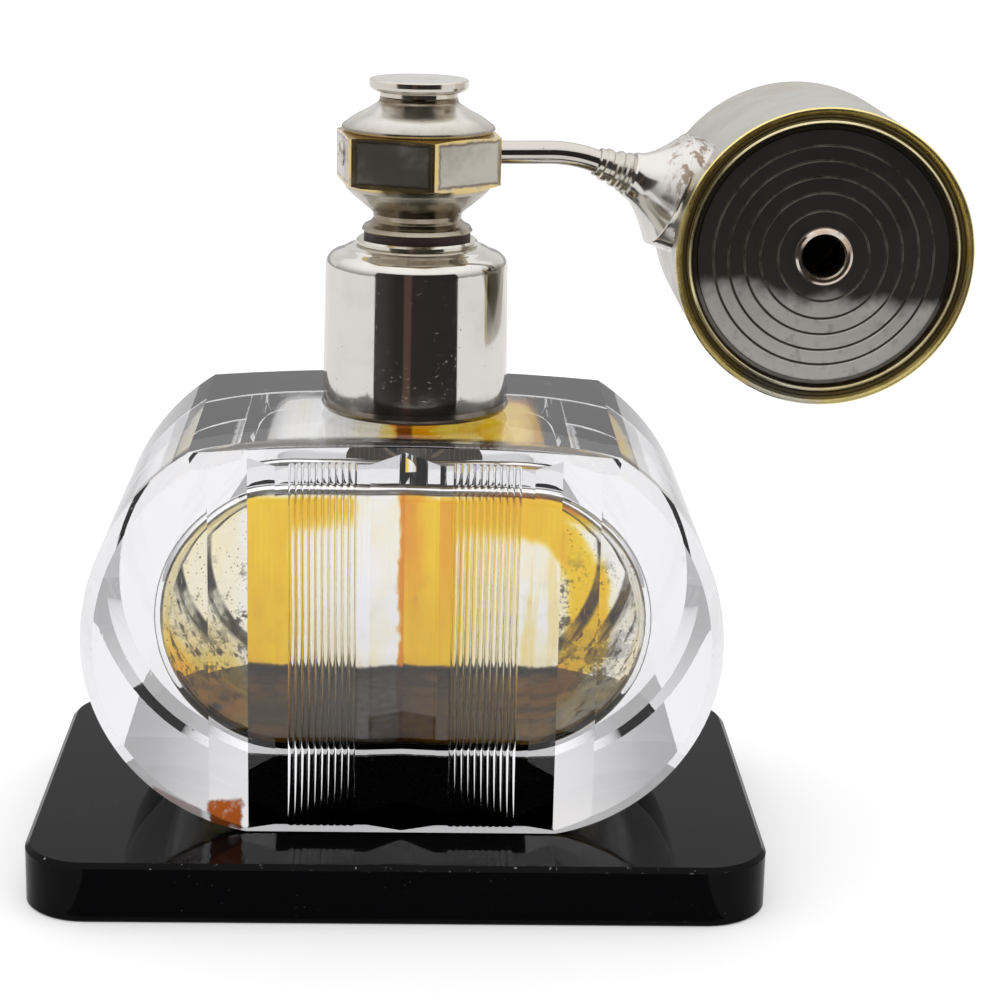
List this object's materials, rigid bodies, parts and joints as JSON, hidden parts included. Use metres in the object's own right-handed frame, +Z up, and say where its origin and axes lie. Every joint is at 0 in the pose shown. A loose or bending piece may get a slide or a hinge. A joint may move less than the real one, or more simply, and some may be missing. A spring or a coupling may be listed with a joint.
{
  "type": "perfume atomiser",
  "caption": "Cut crystal perfume bottle on a black glass plate, with a silvered screw-in spray head and a drum-shaped thumb pump on a curved air tube.",
  "frame": {"origin": "centre of the plate's underside", "axes": "+Z up through the neck; -Y towards the user, the way the drum's grooved disc faces; +X from the bottle towards the drum"},
  "size_m": [0.1463, 0.0763, 0.1233],
  "materials": {
    "black_glass": "polished opaque black glass",
    "cement": "thin dark cement film",
    "crystal_glass": "clear cut lead crystal, dried perfume stains inside",
    "silver_plate": "silver plate over brass, light tarnish, fine hairline wear",
    "plaster": "dry white plaster",
    "nickel_silver": "bright nickel silver",
    "seal_leather": "oiled leather",
    "washer_leather": "dark red-brown sealing washer",
    "brushed_silver": "brushed silver plate worn to brass at its edges",
    "nozzle_metal": "worn silver plate, dark hole",
    "jet_brass": "drawn brass",
    "ferrule_brass": "turned brass",
    "dip_brass": "drawn brass, stained",
    "satin_silver": "satin silver plate, spun finish",
    "packing_leather": "oiled leather",
    "needle_brass": "drawn brass",
    "knob_silver": "satin silver plate, brass showing at the rim",
    "tube_nickel": "bright plated tube",
    "union_nickel": "bright plated, solder stains",
    "horn_nickel": "plated, brown solder stains at its foot",
    "drum_silver": "satin silver plate, light tarnish",
    "rim_brass": "turned brass, dark in the hollow",
    "seat_brass": "stamped brass",
    "spring_steel": "drawn spring steel",
    "disc_silver": "tarnished silver plate with turned grooves",
    "eyelet_copper": "rubbed copper-coloured plate",
    "cup_hide": "oiled cup leather",
    "plate_brass": "stamped brass",
    "nut_brass": "turned brass"
  },
  "bodies": {
    "stand": {"base_plate": "black_glass", "base_cement": "cement", "bottle": "crystal_glass", "neck_collar": "silver_plate", "neck_cement": "plaster", "neck_bush": "nickel_silver", "neck_seal": "seal_leather"},
    "washer": {"head_washer": "washer_leather"},
    "head": {"head_body": "brushed_silver", "nozzle_tip": "nozzle_metal", "jet_tube": "jet_brass", "siphon_ferrule": "ferrule_brass", "dip_tube": "dip_brass", "head_dome": "satin_silver", "gland_packing": "packing_leather", "air_tube": "tube_nickel", "tube_union": "union_nickel", "pump_horn": "horn_nickel", "drum_shell": "drum_silver", "drum_rim": "rim_brass", "spring_seat": "seat_brass", "return_spring": "spring_steel"},
    "needle": {"shutoff_needle": "needle_brass"},
    "knob": {"closure_knob": "knob_silver"},
    "piston": {"piston_disc": "disc_silver", "piston_eyelet": "eyelet_copper", "cup_leather": "cup_hide", "cup_plate": "plate_brass", "eyelet_nut": "nut_brass"}
  },
  "joints": [
    {"name": "head_lift", "type": "slide", "parent": "stand", "child": "washer", "axis": [0, 0, 1], "range_m": [0, 0.085]},
    {"name": "head_turn", "type": "hinge", "parent": "washer", "child": "head", "pos_m": [0.0018, 0.002, 0.0986], "axis": [0, 0, 1], "range_deg": [0, 720]},
    {"name": "needle_lift", "type": "slide", "parent": "head", "child": "needle", "axis": [0, 0, 1], "range_m": [0, 0.00075]},
    {"name": "knob_turn", "type": "hinge", "parent": "needle", "child": "knob", "pos_m": [0.0018, 0.002, 0.12], "axis": [0, 0, 1], "range_deg": [0, 540]},
    {"name": "piston_slide", "type": "slide", "parent": "head", "child": "piston", "axis": [0, 1, 0], "range_m": [0, 0.0085], "stiffness_N_per_m": 800, "springref_m": -0.004, "deforming": ["return_spring"]}
  ],
  "couplings": [
    {"joint": "knob_turn", "follows": "needle_lift", "rad_per_m": 12566}
  ]
}
